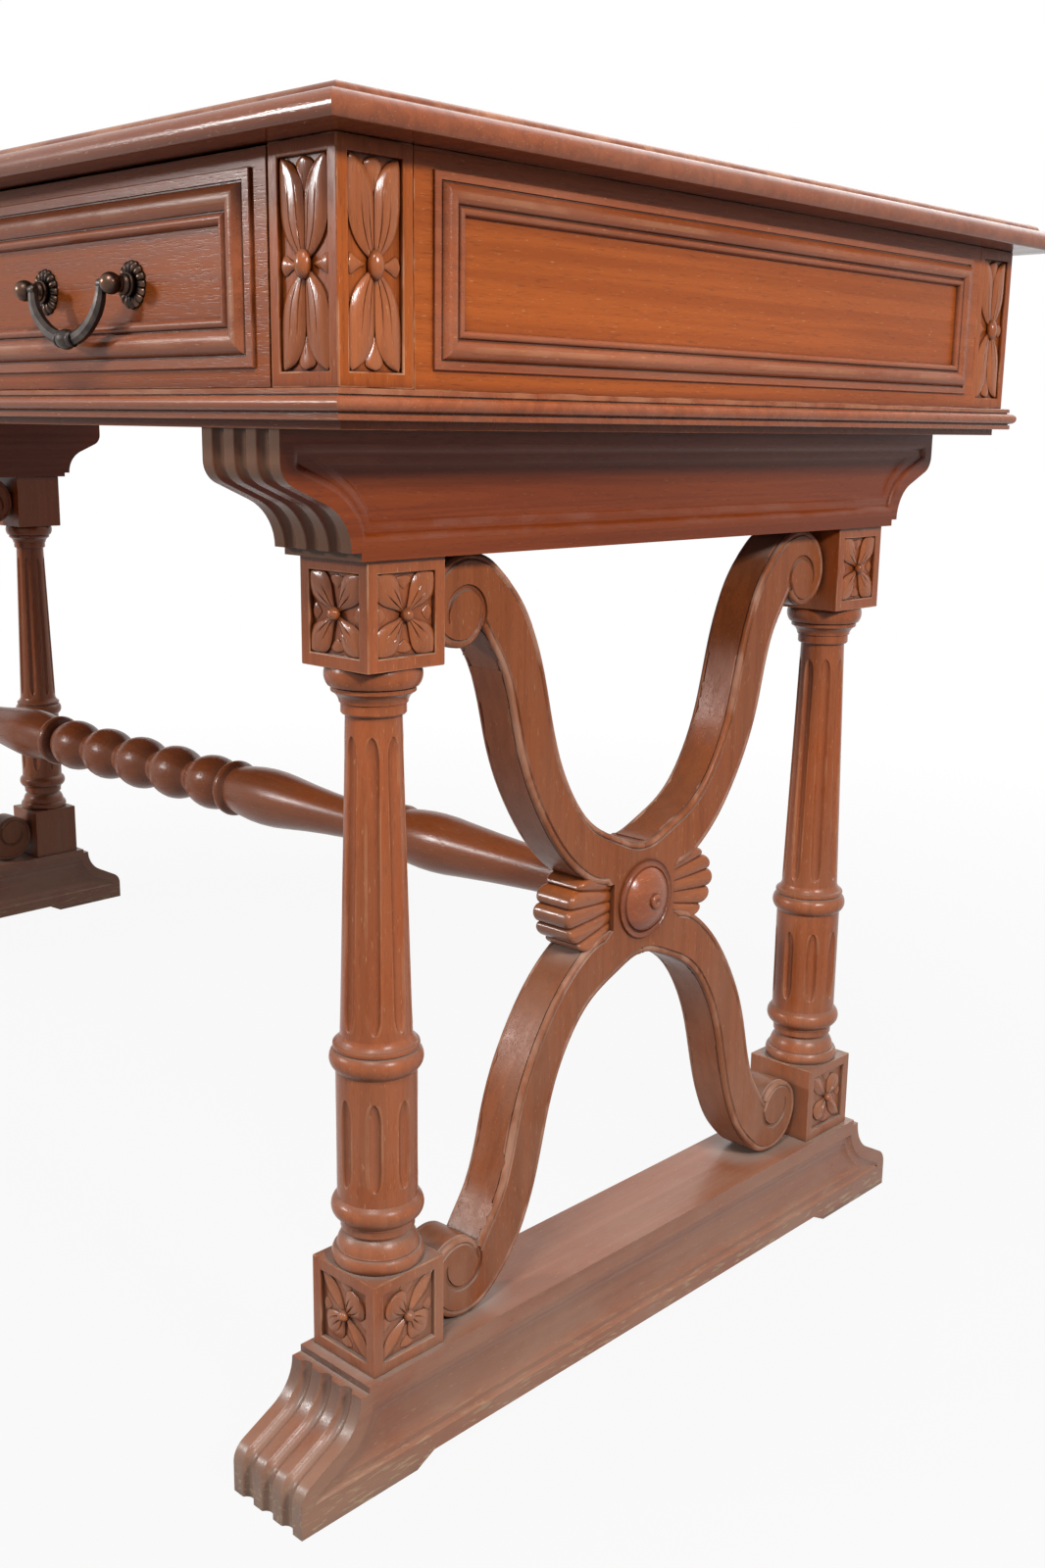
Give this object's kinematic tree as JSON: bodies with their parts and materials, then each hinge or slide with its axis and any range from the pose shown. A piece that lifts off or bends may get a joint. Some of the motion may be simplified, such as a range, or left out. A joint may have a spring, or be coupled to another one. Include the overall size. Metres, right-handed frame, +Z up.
{
  "type": "partners desk",
  "caption": "Carved wooden desk with drawers on both long sides, standing on scroll trestles joined by a turned stretcher, with swinging bail handles.",
  "frame": {"origin": "on the floor, under the middle of the top", "axes": "+X along the desk's length, -Y towards the front (the long side in the picture), +Z up"},
  "size_m": [1.365, 0.673, 0.756],
  "materials": {
    "mahogany": "satin varnish",
    "drawer_wood": "bare planed wood",
    "bronze": "dark patina",
    "steel": "plain"
  },
  "bodies": {
    "desk": {"base_moulding": "mahogany", "bearer_screws": "steel", "bottom_board": "mahogany", "centre_partition": "drawer_wood", "corner_posts": "mahogany", "cross_partitions": "drawer_wood", "crossing_bosses": "mahogany", "crossing_shells": "mahogany", "drawer_dividers": "mahogany", "drawer_guides": "drawer_wood", "end_panel_mouldings": "mahogany", "end_panels": "mahogany", "left_back_column": "mahogany", "left_back_scroll": "mahogany", "left_bearer": "mahogany", "left_foot": "mahogany", "left_front_column": "mahogany", "left_front_scroll": "mahogany", "right_back_column": "mahogany", "right_back_scroll": "mahogany", "right_bearer": "mahogany", "right_foot": "mahogany", "right_front_column": "mahogany", "right_front_scroll": "mahogany", "stretcher": "mahogany", "stretcher_screws": "steel", "top_board": "mahogany", "top_edge_moulding": "mahogany", "top_glue_blocks": "drawer_wood"},
    "front_left_drawer": {"front_left_drawer_front": "mahogany", "front_left_drawer_box": "drawer_wood", "front_left_drawer_moulding": "mahogany", "front_left_handle_posts": "bronze"},
    "front_left_bail": {"front_left_bail": "bronze"},
    "front_centre_drawer": {"front_centre_drawer_front": "mahogany", "front_centre_drawer_box": "drawer_wood", "front_centre_drawer_moulding": "mahogany", "front_centre_handle_posts": "bronze"},
    "front_centre_bail": {"front_centre_bail": "bronze"},
    "front_right_drawer": {"front_right_drawer_front": "mahogany", "front_right_drawer_box": "drawer_wood", "front_right_drawer_moulding": "mahogany", "front_right_handle_posts": "bronze"},
    "front_right_bail": {"front_right_bail": "bronze"},
    "back_left_drawer": {"back_left_drawer_front": "mahogany", "back_left_drawer_box": "drawer_wood", "back_left_drawer_moulding": "mahogany", "back_left_handle_posts": "bronze"},
    "back_left_bail": {"back_left_bail": "bronze"},
    "back_centre_drawer": {"back_centre_drawer_front": "mahogany", "back_centre_drawer_box": "drawer_wood", "back_centre_drawer_moulding": "mahogany", "back_centre_handle_posts": "bronze"},
    "back_centre_bail": {"back_centre_bail": "bronze"},
    "back_right_drawer": {"back_right_drawer_front": "mahogany", "back_right_drawer_box": "drawer_wood", "back_right_drawer_moulding": "mahogany", "back_right_handle_posts": "bronze"},
    "back_right_bail": {"back_right_bail": "bronze"}
  },
  "joints": [
    {"name": "front_left_drawer_slide", "type": "slide", "parent": "desk", "child": "front_left_drawer", "axis": [0, -1, 0], "range_m": [0, 0.2]},
    {"name": "front_left_bail_hinge", "type": "hinge", "parent": "front_left_drawer", "child": "front_left_bail", "pos_m": [-0.452, -0.3255, 0.681], "axis": [-1, 0, 0], "range_deg": [-10, 150]},
    {"name": "front_centre_drawer_slide", "type": "slide", "parent": "desk", "child": "front_centre_drawer", "axis": [0, -1, 0], "range_m": [0, 0.2]},
    {"name": "front_centre_bail_hinge", "type": "hinge", "parent": "front_centre_drawer", "child": "front_centre_bail", "pos_m": [0, -0.3255, 0.681], "axis": [-1, 0, 0], "range_deg": [-10, 150]},
    {"name": "front_right_drawer_slide", "type": "slide", "parent": "desk", "child": "front_right_drawer", "axis": [0, -1, 0], "range_m": [0, 0.2]},
    {"name": "front_right_bail_hinge", "type": "hinge", "parent": "front_right_drawer", "child": "front_right_bail", "pos_m": [0.452, -0.3255, 0.681], "axis": [-1, 0, 0], "range_deg": [-10, 150]},
    {"name": "back_left_drawer_slide", "type": "slide", "parent": "desk", "child": "back_left_drawer", "axis": [0, 1, 0], "range_m": [0, 0.2]},
    {"name": "back_left_bail_hinge", "type": "hinge", "parent": "back_left_drawer", "child": "back_left_bail", "pos_m": [-0.452, 0.3255, 0.681], "axis": [1, 0, 0], "range_deg": [-10, 150]},
    {"name": "back_centre_drawer_slide", "type": "slide", "parent": "desk", "child": "back_centre_drawer", "axis": [0, 1, 0], "range_m": [0, 0.2]},
    {"name": "back_centre_bail_hinge", "type": "hinge", "parent": "back_centre_drawer", "child": "back_centre_bail", "pos_m": [0, 0.3255, 0.681], "axis": [1, 0, 0], "range_deg": [-10, 150]},
    {"name": "back_right_drawer_slide", "type": "slide", "parent": "desk", "child": "back_right_drawer", "axis": [0, 1, 0], "range_m": [0, 0.2]},
    {"name": "back_right_bail_hinge", "type": "hinge", "parent": "back_right_drawer", "child": "back_right_bail", "pos_m": [0.452, 0.3255, 0.681], "axis": [1, 0, 0], "range_deg": [-10, 150]}
  ]
}
